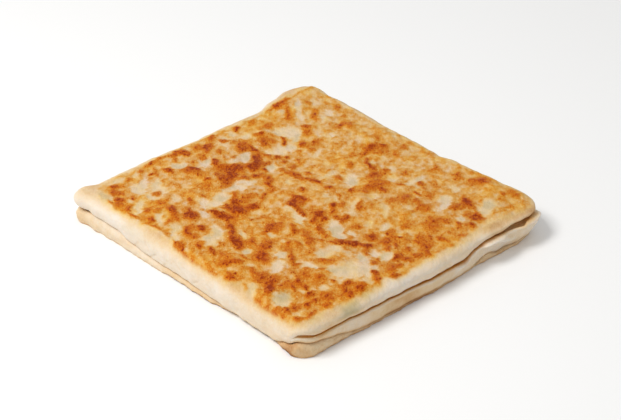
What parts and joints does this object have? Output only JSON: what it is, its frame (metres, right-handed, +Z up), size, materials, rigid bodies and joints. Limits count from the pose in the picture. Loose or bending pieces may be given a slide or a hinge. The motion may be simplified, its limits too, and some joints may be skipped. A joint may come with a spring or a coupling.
{
  "type": "gozleme",
  "caption": "Square gozleme: thin dough folded over its filling into a flat plump packet, griddle-browned in blotches on top, pale at the sides.",
  "frame": {"origin": "middle of the footprint's bounding box, on the surface the gozleme rests on", "axes": "+Z up out of the toasted face; -Y is the side with the smooth fold; +X and -X are the sides where the leaves lie open on each other"},
  "size_m": [0.171, 0.1634, 0.0183],
  "materials": {
    "toasted_dough": "baked dough, blotchy brown on top, cream at the sides, faint sheen",
    "baked_dough": "baked dough, pale with a toasted foot, matt"
  },
  "bodies": {
    "root": {"folded_packet": "toasted_dough", "bottom_leaf": "baked_dough"}
  },
  "joints": []
}
